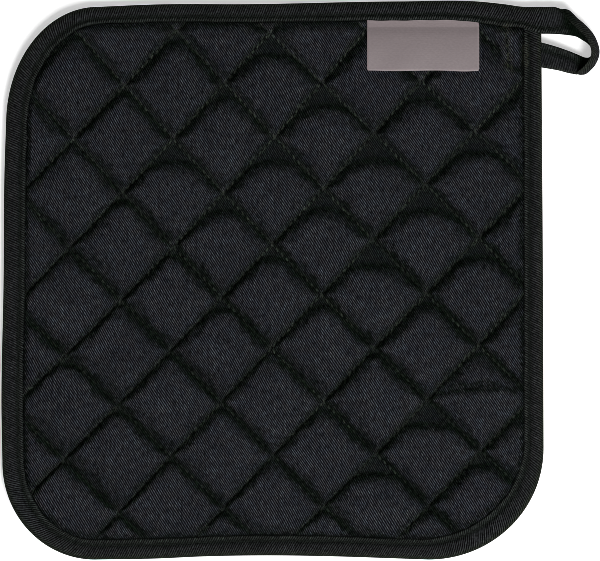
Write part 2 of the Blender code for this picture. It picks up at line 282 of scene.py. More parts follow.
# And of the slot inside it, from its bottom to the lip.
TAPE_INSIDE = (
    ("outer", 0.95, 0.4),
    ("outer", 1.3,  1.0),
    ("outer", 3.0,  1.1),
    ("inner", 0.6,  1.1),
    ("inner", 0.16, 1.2),
)
SECTION_STEPS = 2           # mesh steps from one row of the outside to the next
GROOVE_FROM_INNER = 2.15    # the line of stitches
GROOVE_HEIGHT = 1.5
GROOVE_HALF = 0.7           # half its width
STITCH_DENT = 0.22          # how deep a stitch presses into it
TAPE_STITCH = 2.7
LIFT = 0.8                  # the tape's end rises this much where it lies over its beginning
START_THICKNESS = 0.8       # the tape's beginning is pressed to this share of its thickness
# Three lines run along the hanging loop: its edge beside the hole, its back, and its rim, which
# stands up at the far end of the loop.
#  hole x,  y,    z       back x,  y,    z       rim x,   y,    z
LOOP_LINES = (
    ((98.35, 90.2, 3.9), (98.35, 95.4, 3.9), (98.35, 99.9, 3.9)),
    ((103.7, 90.0, 4.3), (104.0, 95.4, 4.4), (103.3, 99.8, 4.5)),
    ((107.7, 89.7, 3.6), (107.7, 97.2, 4.0), (105.9, 97.6, 6.0)),
    ((111.0, 89.2, 2.6), (110.8, 94.9, 3.6), (109.0, 93.7, 7.0)),
    ((113.4, 87.9, 1.9), (113.9, 92.3, 3.4), (111.9, 90.9, 8.0)),
    ((115.4, 86.5, 1.5), (116.4, 89.2, 3.4), (114.3, 88.2, 8.8)),
    ((116.9, 84.3, 1.3), (118.2, 84.3, 3.8), (115.9, 84.4, 9.2)),
    ((115.9, 81.7, 1.4), (117.6, 80.7, 3.8), (115.7, 81.6, 8.9)),
    ((113.9, 81.5, 2.0), (115.5, 77.8, 3.5), (114.1, 78.9, 7.8)),
    ((111.2, 82.6, 2.6), (113.0, 76.4, 3.2), (111.9, 76.9, 5.7)),
    ((108.0, 83.9, 3.0), (109.2, 78.1, 3.1), (109.3, 75.6, 3.7)),
    ((103.3, 85.5, 3.3), (103.7, 79.7, 3.3), (104.0, 76.8, 3.4)),
    ((97.60, 87.1, 3.4), (97.60, 80.8, 3.4), (97.60, 77.9, 3.4)),
)
LOOP_STEPS = 110
BACK_SHARE = 0.55           # where the back lies on the tape's width, from the hole to the rim
# Places inside the loop's turns where shade is painted into the tape's colour: start and end, half
# their width, depth, and the share of the tape's width, from the hole, that they take up.
#   x0      y0      x1      y1    half  depth  share
LOOP_SHADES = (
    (104.6,  99.6,  109.4,  95.2,  1.4,  0.82,  1.3),
    (108.0,  95.0,  110.2,  90.0,  2.7,  0.985, 0.58),
    (109.6,  91.4,  113.6,  88.9,  1.1,  0.93,  0.56),
    (113.0,  82.3,  112.9,  77.6,  2.0,  0.96,  0.62),
)
TURNED_SHADE = 0.45         # painted shade: how much darker an outer edge is that looks away from the label's side
LOOP_THICKNESS = 0.44       # share of the tape's thickness round the square
LOOP_SLOT = 0.05            # and of the slot's height
BACK_STEP = 0.02            # share of the width over which the tape's slant is measured
RIB_PITCH = 0.86
RIB_LEAN = 0.43             # a rib's outer end lies ahead of its inner end by this share of the width
RIB_LEAN_UPWARD = 0.08      # and by this much less at the square's top, or more at its bottom

# ---------------------------------------------------------------- the label
LABEL_LEFT = 34.3
LABEL_RIGHT = 75.2
LABEL_THICKNESS = 0.35
LABEL_ROUNDING = 0.8
# Its underside from the edge caught under the tape down to its free edge: y, z.
LABEL_PROFILE = (
    (97.3, 4.4), (94.6, 4.5), (92.6, 5.0), (90.0, 5.7), (86.0, 6.15), (81.0, 6.25), (76.5, 6.1)
)
LABEL_CLEARANCE = 0.2
LABEL_DENT_SLOPE = 0.35     # how steeply the cloth rises beside it
LABEL_CAUGHT_Y = 92.9       # where the tape covers it
LABEL_STEPS = (60, 36)

# ---------------------------------------------------------------- thread
FALLING_STITCH = 2.6
RISING_STITCH = 2.5
STITCH_GAP = 0.1            # share of a stitch's length at each end that dips into the cloth
STITCH_SLANT = 0.26         # how far its ends lie aside, as a share of its length
TAPE_SLANT = 0.06
TOPSTITCH_START = 5.0       # the tape's first stitches lie under its end, so they are left out
QUILT_RADIUS = 0.27
TOPSTITCH_RADIUS = 0.17
THREAD_LIFT = 0.12
SEAM_END = 0.3              # the quilting's stitches end this far inside the tape's inner edge
SEAM_POINTS = 1200          # along each seam, from which its stitches are measured
LEAST_SEAM_POINTS = 20      # a seam with fewer of them inside the tape has no stitches
STITCH_RINGS = 6
THREAD_SIDES = 6


# ================================================================ shapes
def curve_through(knots, values, at):
    """Smooth cubic through values at knots; a knot's slope is worked out from its neighbours."""
    knots = np.asarray(knots, float)
    values = np.asarray(values, float)
    at = np.asarray(at, float)
    slopes = np.gradient(values, knots, axis=0)
    low = np.clip(np.searchsorted(knots, at, side="right") - 1, 0, len(knots) - 2)
    step = knots[low + 1] - knots[low]
    t = (at - knots[low]) / step
    if values.ndim > 1:
        t = t[:, None]
        step = step[:, None]
    return (
        (2 * t**3 - 3 * t**2 + 1) * values[low]
        + (t**3 - 2 * t**2 + t) * step * slopes[low]
        + (3 * t**2 - 2 * t**3) * values[low + 1]
        + (t**3 - t**2) * step * slopes[low + 1]
    )


def hump(share):
    """1 halfway along, falling to 0 at both ends."""
    return 4 * share * (1 - share)


def ease(value, start, end):
    """0 up to start, 1 from end on, with a smooth S between them."""
    share = np.clip((value - start) / (end - start), 0, 1)
    return share * share * (3 - 2 * share)


def rise(distance, reach):
    """From 0 at a seam to 1 at `reach` from it: steep at first and level at the end."""
    return (1 - (1 - np.clip(distance / reach, 0, 1)) ** 2) ** PUFF_POWER


def hills(name, x, y):
    """One of the kinds of unevenness: each row's hills are a sum of waves in scattered directions."""
    total = np.zeros(np.broadcast(x, y).shape)
    for height, size, seed in HILLS[name]:
        draw = np.random.default_rng(seed)
        for _ in range(HILL_WAVES):
            angle, phase = draw.uniform(0, 2 * np.pi, 2)
            turns = 2 * np.pi / (size * draw.uniform(0.7, 1.6))
            wave = np.cos(turns * (x * np.cos(angle) + y * np.sin(angle)) + phase)
            total += height / np.sqrt(HILL_WAVES) * wave
    return total


def beside_line(x, y, line):
    """For each point its share of the way along a straight line, its distance to the left of it,
    and its distance from the nearest point between the line's ends."""
    x0, y0, x1, y1 = line
    length = np.hypot(x1 - x0, y1 - y0)
    share = ((x - x0) * (x1 - x0) + (y - y0) * (y1 - y0)) / length**2
    left = ((y - y0) * (x1 - x0) - (x - x0) * (y1 - y0)) / length
    return share, left, np.hypot(left, (share - np.clip(share, 0, 1)) * length)


def run_along(points):
    """Distance along a line of points from its first one."""
    steps = np.linalg.norm(np.diff(points, axis=0), axis=1)
    return np.concatenate(([0.0], np.cumsum(steps)))


def side_points(corners, here, steps, start=None, end=None):
    """Points along one side, bowed by its waves: from its rounding, or from the distance `start`, to
    the next rounding, or to `end`."""
    spots = np.array(corners)[:, :2]
    ahead_of = (here + 1) % len(corners)
    ahead = spots[ahead_of] - spots[here]
    length = np.linalg.norm(ahead)
    ahead /= length
    outward = np.array((-ahead[1], ahead[0]))
    waves = SIDE_WAVES[here]
    first = corners[here][3]
    last = length - corners[ahead_of][2]
    wave_at = [first] + [share * length for share, _ in waves] + [last]
    wave = [0.0] + [offset for _, offset in waves] + [0.0]
    places = np.linspace(first if start is None else start, last if end is None else end, steps)
    offsets = curve_through(wave_at, wave, np.clip(places, first, last))
    return spots[here] + np.outer(places, ahead) + np.outer(offsets, outward)


def corner_points(corners, here):
    """A quarter ellipse from the side before a corner to the side after it, without its two ends."""
    spots = np.array(corners)[:, :2]
    back = spots[here - 1] - spots[here]
    back /= np.linalg.norm(back)
    ahead = spots[(here + 1) % len(corners)] - spots[here]
    ahead /= np.linalg.norm(ahead)
    angle = np.linspace(0.0, np.pi / 2, CORNER_STEPS)[1:-1, None]
    before, after = corners[here][2:]
    return spots[here] + (1 - np.sin(angle)) * back * before + (1 - np.cos(angle)) * ahead * after


def tape_edge(corners):
    """One edge of the tape, clockwise: down the right side, round three corners, and along the top
    to the place where the loop begins."""
    points = [side_points(corners, 0, SIDE_STEPS, start=corners[0][1] - TAPE_START_Y)]
    for here in (1, 2, 3):
        points.append(corner_points(corners, here))
        end = TAPE_TURN_X - corners[3][0] if here == 3 else None
        points.append(side_points(corners, here, SIDE_STEPS, end=end))
    return np.concatenate(points)


def closed_ring(corners, inset=0.0):
    """The whole outline with its sharp top right corner, moved inwards by `inset`."""
    moved = []
    for x, y, *reaches in corners:
        before, after = (max(reach - inset, LEAST_ROUNDING) for reach in reaches)
        moved.append((x - np.sign(x) * inset, y - np.sign(y) * inset, before, after))
    points = []
    for here in range(len(moved)):
        points.append(corner_points(moved, here))
        points.append(side_points(moved, here, SIDE_STEPS // 3))
    return np.concatenate(points)


def depth_inside(points, ring):
    """Distance of each point inside a closed ring, below 0 outside it, and the ring's nearest point."""
    edge = np.roll(ring, -1, axis=0) - ring
    depth = np.empty(len(points))
    nearest = np.empty_like(points)
    for start in range(0, len(points), BLOCK):
        some = points[start:start + BLOCK]
        to_point = some[:, None, :] - ring
        share = np.clip((to_point * edge).sum(axis=2) / (edge**2).sum(axis=1), 0, 1)
        foot = ring + share[..., None] * edge
        distance = np.linalg.norm(some[:, None, :] - foot, axis=2)
        pick = distance.argmin(axis=1)
        rows = np.arange(len(some))
        spans = (ring[:, 1] > some[:, 1:]) != (ring[:, 1] + edge[:, 1] > some[:, 1:])
        steep = np.where(edge[:, 1] == 0, 1.0, edge[:, 1])
        crossing = ring[:, 0] + (some[:, 1:] - ring[:, 1]) / steep * edge[:, 0]
        inside = (spans & (some[:, :1] < crossing)).sum(axis=1) % 2 == 1
        depth[start:start + BLOCK] = np.where(inside, 1, -1) * distance[rows, pick]
        nearest[start:start + BLOCK] = foot[rows, pick]
    return depth, nearest


def net_faces(shape):
    """The four corners of every mesh of a net of points, facing up."""
    number = np.arange(shape[0] * shape[1]).reshape(shape)
    return np.stack((number[:-1, :-1], number[:-1, 1:], number[1:, 1:], number[1:, :-1]), axis=-1)


def closed_sheet(quads, count):
    """Faces of a sheet's top, of its underside, whose points follow `count` later, and of the wall
    between them, which stands on the edges that only one face of the top has."""
    edges = np.concatenate([quads[:, [corner, (corner + 1) % 4]] for corner in range(4)])
    key = np.sort(edges, axis=1) @ np.array((count, 1))
    _, first, uses = np.unique(key, return_index=True, return_counts=True)
    rim = edges[first[uses == 1]]
    wall = np.column_stack((rim[:, 1], rim[:, 0], rim[:, 0] + count, rim[:, 1] + count))
    return [quads, quads[:, ::-1] + count, wall]


def tube_faces(tubes, rings, around):
    """Faces of closed tubes, their walls and both caps. Their points run anticlockwise round each ring
    as seen from the tube's start, then from ring to ring, then from tube to tube."""
    side = np.arange(around)
    ahead = (side + 1) % around
    first = np.arange(tubes)[:, None] * rings * around
    here = (first + np.arange(rings - 1) * around)[..., None]
    walls = (here + side, here + around + side, here + around + ahead, here + ahead)
    caps = np.concatenate((first + side, first + (rings - 1) * around + side[::-1]))
    return [np.stack(walls, axis=-1).reshape(-1, 4), caps]


def add_piece(name, points, faces, material, attributes=None):
    """One object from points in millimetres and blocks of faces, with its own numbers for the
    material."""
    corners = np.concatenate([block.ravel() for block in faces])
    sizes = np.concatenate([np.full(len(block), block.shape[1]) for block in faces])
    starts = np.concatenate(([0], np.cumsum(sizes)[:-1]))
    mesh = bpy.data.meshes.new(name)
    mesh.vertices.add(len(points))
    mesh.vertices.foreach_set("co", (points * MM).astype(np.float32).ravel())
    mesh.loops.add(len(corners))
    mesh.loops.foreach_set("vertex_index", corners.astype(np.int32))
    mesh.polygons.add(len(sizes))
    mesh.polygons.foreach_set("loop_start", starts.astype(np.int32))
    mesh.update(calc_edges=True)
    mesh.shade_smooth()
    for key, values in (attributes or {}).items():
        flat = values.ndim == 1
        layer = mesh.attributes.new(key, "FLOAT" if flat else "FLOAT_VECTOR", "POINT")
        layer.data.foreach_set("value" if flat else "vector", values.astype(np.float32).ravel())
    mesh.materials.append(material)
    piece = bpy.data.objects.new(name, mesh)
    bpy.context.scene.collection.objects.link(piece)
    return piece


# ---------------------------------------------------------------- the quilted square
def blended_rows(seams, place):
    """Offset, tilt and bow of the line at a place between two seams, mixed from theirs."""
    table = np.array(seams)
    before = np.minimum(place.astype(int), len(seams) - 2)
    share = (place - before)[..., None]
    return table[before] * (1 - share) + table[before + 1] * share


def lines_cross(place_f, place_r):
    """Where the line at a place among the falling seams crosses the one at a place among the rising:
    each is worked out from the other, over and over, until they agree."""
    rows_f = blended_rows(FALLING_SEAMS, place_f)
    rows_r = blended_rows(RISING_SEAMS, place_r)
    up_right = np.zeros(place_f.shape)
    down_right = np.zeros(place_f.shape)
    for _ in range(CROSSING_PASSES):
        run = down_right / SEAM_RUN
        up_right = rows_f[..., 0] + rows_f[..., 1] * run + rows_f[..., 2] * run**2
        run = up_right / SEAM_RUN
        down_right = rows_r[..., 0] + rows_r[..., 1] * run + rows_r[..., 2] * run**2
    return (up_right + down_right) / np.sqrt(2), (up_right - down_right) / np.sqrt(2)


def crowded_places(seams):
    """Places across the seams, whole numbers on a seam, closer together beside it."""
    even = np.arange(0, (len(seams) - 1) * DIAMOND_STEPS + 1) / DIAMOND_STEPS
    return even - SEAM_CROWDING * np.sin(2 * np.pi * even) / (2 * np.pi)


def panel_outline(x, y):
    """The net drawn in to the cloth's rim, whether each point is inside that rim, how far it is
    inside the tape's inner edge, and 1 where the nearest of that edge lies straight sideways."""
    flat = np.column_stack((x.ravel(), y.ravel()))
    near = np.abs(flat).max(axis=1) < HALF_SQUARE + NEAR_SQUARE
    depth = np.full(len(flat), -HALF_SQUARE)
    from_tape = depth.copy()
    depth[near], foot = depth_inside(flat[near], closed_ring(OUTER_CORNERS, RIM_INSET))
    flat[near] = np.where((depth[near] <= 0)[:, None], foot, flat[near])
    from_tape[near], foot = depth_inside(flat[near], closed_ring(INNER_CORNERS))
    sideways = np.zeros(len(flat))
    sideways[near] = np.abs(flat[near, 0] - foot[:, 0]) / np.maximum(np.abs(from_tape[near]), 1e-3)
    parts = (flat[:, 0], flat[:, 1], depth > 0, from_tape, np.clip(sideways, 0, 1))
    return [part.reshape(x.shape) for part in parts]


def varying(row, x, y):
    """A size that is given for the middle of the square, with its growth to the right and the top."""
    middle, right, top = row
    return middle + (right * x + top * y) / HALF_SQUARE


def slope_reach(edge, share, x, y):
    """How far a slope reaches from its seam: by place on the square, and short at the diamond's left
    and right corners, where `share` of the way along the edge is 0."""
    reach = np.maximum(varying(SLOPE_REACH[edge], x, y), LEAST_REACH)
    return reach * (CORNER_REACH + (1 - CORNER_REACH) * ease(share, 0.0, CORNER_SHARE))


def filling(cell_f, cell_r, column):
    """One column of the fillings' table for each point of the net."""
    found = np.full(cell_f.shape, PLAIN_FILLING[column])
    for row in FILLINGS:
        found[(cell_f == row[0] - 1) & (cell_r == row[1])] = row[2 + column]
    return found


def upper_rise(apex, flat, from_right, from_left, reach, foot, uneven):
    """Rise from a diamond's two upper edges, whose top corner is rounded off or cut straight."""
    radius = np.minimum(apex / (np.sqrt(2) - 1), ROUNDEST)
    inner = np.hypot(np.maximum(radius - from_right, 0), np.maximum(radius - from_left, 0))
    nearest = np.minimum(from_right, from_left)
    round_distance = np.where(nearest < radius, radius - inner, nearest)
    straight_distance = (from_right + from_left) / np.sqrt(2) - apex
    distance = np.minimum(round_distance * (1 - flat) + straight_distance * flat, nearest)
    return rise(distance - foot, np.maximum(reach - foot, LEAST_UPPER_REACH) * uneven)


def fill_of(cell_f, cell_r, low_f, low_r, x, y):
    """How full the diamonds are, 0 on their seams and 1 on their crowns: three rises multiplied."""
    uneven = np.clip(1 + hills("slopes", x, y), *UNEVEN_RANGE)
    high_f, high_r = DIAMOND - low_f, DIAMOND - low_r
    longer = filling(cell_f, cell_r, 2) * np.sqrt(np.maximum(hump(low_r / DIAMOND), 0))
    left = slope_reach("lower_left", low_r / DIAMOND, x, y) + longer
    right = slope_reach("lower_right", high_f / DIAMOND, x, y)
    share = high_f / (high_f + low_r + 1e-6)
    reach = slope_reach("upper_left", low_f / DIAMOND, x, y) * share
    reach += slope_reach("upper_right", high_r / DIAMOND, x, y) * (1 - share)
    foot = varying(SLOPE_FOOT["upper_left"], x, y) * share
    foot = np.maximum(foot + varying(SLOPE_FOOT["upper_right"], x, y) * (1 - share), 0.0)
    apex, flat = filling(cell_f, cell_r, 0), filling(cell_f, cell_r, 1)
    upper = upper_rise(apex, flat, high_f, low_r, reach, foot, uneven)
    return rise(low_f, left * uneven) * rise(high_r, right * uneven) * upper


def facings(x, y, z):
    """How level a surface lies at each point of its net (1 level, 0 upright), and how far it faces
    the label's side (0 to 1)."""
    ways = [np.stack([np.gradient(part, axis=axis) for part in (x, y, z)], axis=-1) for axis in (0, 1)]
    facing = np.cross(*ways)
    length = np.maximum(np.linalg.norm(facing, axis=-1), 1e-9)
    facing *= (np.sign(facing[..., 2]) / length)[..., None]
    return facing[..., 2], np.maximum(facing[..., 1], 0)


def crease_depth(x, y):
    """Sum of the creases: a bell across each one, fading out at both its ends."""
    total = np.zeros(x.shape)
    for *line, half, depth, bow in CREASES:
        share, left, _ = beside_line(x, y, line)
        inside = hump(np.clip(share, 0, 1))
        total += depth * np.exp(-(((left - bow * inside) / half) ** 2)) * np.sqrt(inside)
    return total


def wear(x, y):
    """How worn the cloth is: 1 along the middle of a worn place, falling off like a bell."""
    total = np.zeros(x.shape)
    for *line, half in WORN_PLACES:
        _, _, distance = beside_line(x, y, line)
        total = np.maximum(total, np.exp(-((distance / half) ** 2)))
    return total


def under_label(x, y):
    """The greatest height that the label leaves to the cloth under it and close round it."""
    rows = sorted(LABEL_PROFILE)
    underside = np.interp(y, [row[0] for row in rows], [row[1] for row in rows])
    beside = np.maximum(np.maximum(LABEL_LEFT - x, x - LABEL_RIGHT), LABEL_PROFILE[-1][0] - y)
    return underside - LABEL_CLEARANCE + LABEL_DENT_SLOPE * np.maximum(beside, 0.0)


def cloth_places(x, y, place_f, place_r):
    """Where each point lies on the flat cloth, which is drawn in a little between the seams."""
    up, down = (
        across + DRAWN_IN * DIAMOND * (place + np.sin(2 * np.pi * place) / (2 * np.pi))
        for across, place in (((x + y) / np.sqrt(2), place_f), ((x - y) / np.sqrt(2), place_r))
    )
    cloth_x = (up + down) / np.sqrt(2) + hills("cloth sideways", x, y)
    cloth_y = (up - down) / np.sqrt(2) + hills("cloth upwards", x, y)
    return np.stack((cloth_x, cloth_y, np.zeros(x.shape)), axis=-1)


def make_panel(material):
    """The filled square.

    Its net follows the seams. In each diamond the height is the product of the rises from its
    edges, times the crown's own roundness and the shoulder beside the tape. The underside is the
    same with even edges and without the table of fillings, flattened where it rests.
    """
    place_f, place_r = np.meshgrid(
        crowded_places(FALLING_SEAMS), crowded_places(RISING_SEAMS), indexing="ij"
    )
    x, y, inside, from_tape, sideways = panel_outline(*lines_cross(place_f, place_r))
    cell_f = np.minimum(place_f.astype(int), len(FALLING_SEAMS) - 2)
    cell_r = np.minimum(place_r.astype(int), len(RISING_SEAMS) - 2)
    low_f, low_r = (place_f - cell_f) * DIAMOND, (place_r - cell_r) * DIAMOND
    shoulder = rise(from_tape, SHOULDER + (SIDE_SHOULDER - SHOULDER) * sideways**2)
    crown = CROWN_EDGE + (1 - CROWN_EDGE) * hump(low_f / DIAMOND) * hump(low_r / DIAMOND)
    even = rise(low_f, BELLY_REACH) * rise(DIAMOND - low_f, BELLY_REACH)
    even *= rise(low_r, BELLY_REACH) * rise(DIAMOND - low_r, BELLY_REACH)
    faded, start, gone = FADED_SEAM
    aside = DIAMOND / 3 * ease(x, start, gone)
    low_f = np.where(cell_f == faded, np.maximum(low_f, aside), low_f)
    low_f = np.where(cell_f == faded - 1, np.minimum(low_f, DIAMOND - aside), low_f)
    fill = fill_of(cell_f, cell_r, low_f, low_r, x, y)
    full = fill * crown * shoulder
    draw = np.random.default_rng(PLUMPNESS_SEED)
    plump = draw.standard_normal((len(FALLING_SEAMS), len(RISING_SEAMS)))[cell_f, cell_r]
    plump = 1 + PLUMPNESS * plump
    beside_f = np.minimum(low_f, DIAMOND - low_f)
    beside_r = np.minimum(low_r, DIAMOND - low_r)
    beside = np.minimum(beside_f, beside_r)
    pucker = hills("puckers", x, y) * np.exp(-beside / PUCKER_REACH) * ease(beside, 0.0, PUCKER_FOOT)
    half = SEAM_HALF + (EDGE_HALF - SEAM_HALF) * (1 - ease(from_tape, 0.0, EDGE_REACH))
    top = MIDDLE + half + full * CROWN_RISE * plump
    relief = pucker + (hills("ripples", x, y) - crease_depth(x, y)) * full
    top += relief * ease(from_tape, 0.0, RELIEF_REACH)
    # The steepness, facing and fullness found here are read by the cloth's finish, which paints shade and
    # light from them into its colour.
    level, turned = facings(x, y, top)
    # Painted light: slopes beside the rising seams, and near the top beside the falling seams, are painted
    # paler than their steepness leaves them.
    painted_light = PALER_BESIDE_RISING * np.exp(-(((DIAMOND - low_r) / PALER_REACH) ** 2))
    upwards = np.clip(PALER_BESIDE_FALLING * y / HALF_SQUARE, 0, 1)
    painted_light += upwards * np.exp(-((low_f / PALER_REACH) ** 2))
    top = np.minimum(top, np.maximum(under_label(x, y), MIDDLE + half))
    bottom = MIDDLE - half - even * shoulder * (BELLY_DROP * plump + hills("belly", x, y))
    bottom = FLAT_BLEND * np.log1p(np.exp(bottom / FLAT_BLEND))
    bottom = np.maximum(bottom - FLAT_SINK * FLAT_BLEND, 0.0)
    level_under, turned_under = facings(x, y, -bottom)

    touched = inside[:-1, :-1] | inside[1:, :-1] | inside[:-1, 1:] | inside[1:, 1:]
    used, quads = np.unique(net_faces(x.shape)[touched], return_inverse=True)
    above = np.stack((x, y, top), axis=-1)
    below = np.stack((x, y, bottom), axis=-1)
    sides = {
        "points": (above, below),
        "cloth": (cloth_places(x, y, place_f, place_r),) * 2,
        "beside_falling": (beside_f, beside_f),
        "beside_rising": (beside_r, beside_r),
        "beside_tape": (np.maximum(from_tape, 0.0),) * 2,
        "level": (level, level_under),
        "turned": (turned, turned_under),
        "painted_light": (painted_light, painted_light),
        "fill": (fill, even),
        "wear": (wear(x, y),) * 2,
    }
    values = {
        key: np.concatenate([side.reshape(x.size, *side.shape[2:])[used] for side in pair])
        for key, pair in sides.items()
    }
    faces = closed_sheet(quads.reshape(-1, 4), len(used))
    return add_piece("quilted_square", values.pop("points"), faces, material, values)


# ---------------------------------------------------------------- the tape and its loop
def tape_section():
    """Rows of the closed section, from the upper lip over the outside to the lower lip, then back
    through the slot: share of the distance taken from the inner edge, distance, height, and 1 on
    the outside or 0 in the slot."""
    knots = np.arange(len(TAPE_OUTSIDE))
    fine = np.linspace(0, knots[-1], knots[-1] * SECTION_STEPS + 1)
    over = np.column_stack((
        np.interp(fine, knots, [row[0] == "inner" for row in TAPE_OUTSIDE]),
        curve_through(knots, [row[1] for row in TAPE_OUTSIDE], fine),
        curve_through(knots, [row[2] for row in TAPE_OUTSIDE], fine),
        np.ones(len(fine)),
    ))
    slot = np.array([(row[0] == "inner", row[1], row[2], 0.0) for row in TAPE_INSIDE], float)
    mirror = np.array((1.0, 1.0, -1.0, 1.0))
    return np.concatenate((over, over[-2::-1] * mirror, slot[::-1] * mirror, slot))


def tape_lines():
    """The inner edge, the outer edge and the bulge between them at every step along the tape, how
    far each step is past the place where the tape leaves the square, and the step at that place."""
    inner, outer = tape_edge(INNER_CORNERS), tape_edge(OUTER_CORNERS)
    turn = len(inner) - 1
    top_side = np.arange(len(inner)) > turn - SIDE_STEPS
    inner[:, 1] -= np.where(top_side, FLARE * ease(inner[:, 0], FLARE_START_X, TAPE_TURN_X), 0)
    past_turn = run_along((inner + outer) / 2)
    past_turn -= past_turn[-1]
    height = MIDDLE + (LOOP_LINES[0][0][2] - MIDDLE) * ease(past_turn, -4.0, 0.0)
    knots = np.arange(len(LOOP_LINES))
    along = np.linspace(0, knots[-1], LOOP_STEPS + 1)[1:]
    hole, back, rim = (curve_through(knots, [row[line] for row in LOOP_LINES], along) for line in range(3))
    loop_bulge = back - (hole + (rim - hole) * BACK_SHARE)
    inner = np.concatenate((np.column_stack((inner, height)), hole))
    outer = np.concatenate((np.column_stack((outer, height)), rim))
    bulge = np.concatenate((np.zeros((turn + 1, 3)), loop_bulge))
    run = run_along((inner + outer) / 2 + bulge)
    return inner, outer, bulge, run - run[turn], turn


def tape_surface(across, height, lines):
    """Points at a share `across` of the tape's width and a height off its middle surface.

    The middle surface is the straight line between the two edges plus the bulge times a hump.
    `across` and `height` have a row for each step along the tape.
    """
    inner, outer, bulge, past_turn, _ = lines
    middle = inner[:, None] + (outer - inner)[:, None] * across[..., None]
    middle = middle + bulge[:, None] * (hump(across) / hump(BACK_SHARE))[..., None]
    steeper = (hump(across + BACK_STEP) - hump(across)) / hump(BACK_SHARE)
    sideways = (outer - inner)[:, None] * BACK_STEP + bulge[:, None] * steeper[..., None]
    forward = np.gradient(middle, past_turn, axis=0)
    facing = np.cross(forward, sideways)
    facing /= np.linalg.norm(facing, axis=2)[..., None]
    return middle + facing * height[..., None]


def thinning(past_turn):
    """The tape's thickness as a share of that round the square: the loop is thinner."""
    return 1 - (1 - LOOP_THICKNESS) * ease(past_turn, -2.0, 3.5)


def over_start(past_turn):
    """1 where the tape's end lies over its beginning, 0 elsewhere."""
    return ease(past_turn, -9.0, -6.5) * (1 - ease(past_turn, -2.0, 2.0))


def tape_shade(points, across, to_edge, outward, before_turn):
    """Painted shade, as the share of the light that the tape's colour keeps: less on the outer edges that
    look away from the label's side, and inside the loop's turns."""
    turned_away = np.maximum(-outward[:, 1], 0) + 0.5 * np.maximum(-outward[:, 0], 0)
    shade = 1 - TURNED_SHADE * (turned_away * before_turn)[:, None] * (1 - ease(to_edge, 0.5, 1.8))
    for *line, half, depth, covered in LOOP_SHADES:
        _, _, distance = beside_line(points[..., 0], points[..., 1], line)
        inside = 1 - ease(across, covered - 0.06, covered + 0.08)
        shade *= 1 - depth * inside * np.exp(-((distance / half) ** 3))
    return shade


def make_tape(material):
    """The binding and the hanging loop: one folded tape, cut in two where it leaves the square."""
    lines = tape_lines()
    inner, outer, _, past_turn, turn = lines
    width = np.linalg.norm(outer - inner, axis=1)
    section = tape_section()
    from_inner, distance, height, outside = (column[None, :] for column in section.T)
    place = from_inner * distance + (1 - from_inner) * (width[:, None] - distance)
    across = place / width[:, None]

    thick = thinning(past_turn) * (
        START_THICKNESS + (1 - START_THICKNESS) * ease(past_turn - past_turn[0], 2.0, 9.0)
    )
    slot = 1 - (1 - LOOP_SLOT) * ease(past_turn, -1.0, 3.0)
    rows = np.where(outside > 0, thick[:, None], slot[:, None])
    lift = LIFT * over_start(past_turn)[:, None] * (1 - ease(across, 0.2, 0.65))
    stitch = 0.5 + 0.5 * np.cos(2 * np.pi * past_turn / TAPE_STITCH)[:, None]
    near_groove = np.exp(-(((place - GROOVE_FROM_INNER) / GROOVE_HALF) ** 2))
    dent = -STITCH_DENT * near_groove * stitch * outside
    uneven = hills("tape", past_turn[:, None], place * 3) * outside
    height = height * rows + np.sign(height) * (lift + dent + uneven) * (np.abs(height) > 0.5)
    points = tape_surface(across, height, lines)
    outward = (outer - inner) / width[:, None]
    before_turn = past_turn < 0
    wobble = (hills("tape edge", past_turn, 0 * past_turn) * before_turn)[:, None] * np.exp(-place / 1.2)
    points = points - outward[:, None] * wobble[..., None]

    around = np.linalg.norm(np.diff(points, axis=1), axis=2)
    around = np.concatenate((np.zeros((len(points), 1)), np.cumsum(around, axis=1)), axis=1)
    forward = np.gradient((inner + outer) / 2, past_turn, axis=0)
    skew = ((outer - inner) * forward).sum(axis=1) * (1 - ease(past_turn, -4.0, 0.0))
    along = past_turn[:, None] + (across - 0.5) * skew[:, None]
    lean = RIB_LEAN - RIB_LEAN_UPWARD * inner[:, 1:2] / HALF_SQUARE
    measure = np.stack((along, around, (along - around * lean) / RIB_PITCH), axis=-1)
    to_edge = width[:, None] - place
    numbers = {
        "tape": measure,
        "from_lip": np.broadcast_to(place, around.shape),
        "to_edge": to_edge,
        "shade": tape_shade(points, across, to_edge, outward, before_turn),
        "wear": wear(points[..., 0], points[..., 1]),
    }
    pieces = []
    for name, first, last in (("edge_tape", 0, turn + 1), ("loop_tape", turn, len(points))):
        faces = tube_faces(1, last - first, len(section))
        values = {key: part[first:last].reshape(-1, *part.shape[2:]) for key, part in numbers.items()}
        pieces.append(add_piece(name, points[first:last].reshape(-1, 3), faces, material, values))
    return pieces, lines


# ---------------------------------------------------------------- the label
def make_label(material):
    """The label: a thin closed sheet over its profile, with slightly rounded lower corners."""
    steps_x, steps_y = LABEL_STEPS
    across, along = np.meshgrid(np.linspace(-1, 1, steps_x + 1), np.linspace(0, 1, steps_y + 1))
    rows = sorted(LABEL_PROFILE)
    top_y, free_y = rows[-1][0], rows[0][0]
    y = top_y + (free_y - top_y) * along
    from_free = np.clip((y - free_y) / LABEL_ROUNDING, 0, 1)
    half = (LABEL_RIGHT - LABEL_LEFT) / 2
    half = half - LABEL_ROUNDING * 0.4 * (1 - np.sqrt(1 - (1 - from_free) ** 2))
    x = (LABEL_LEFT + LABEL_RIGHT) / 2 + across * half
    y = y + hills("label edge", x, 0 * x) * along
    under = curve_through([row[0] for row in rows], [row[1] for row in rows], y)
    under = under + hills("label", x, y) * along
    points = [np.stack((x, y, under + lift), axis=-1) for lift in (LABEL_THICKNESS, 0.0)]
    # The net's rows run downwards, so its faces are turned over.
    quads = np.roll(net_faces(x.shape).reshape(-1, 4)[:, ::-1], 1, axis=1)
    return add_piece("satin_label", np.reshape(points, (-1, 3)), closed_sheet(quads, x.size), material)


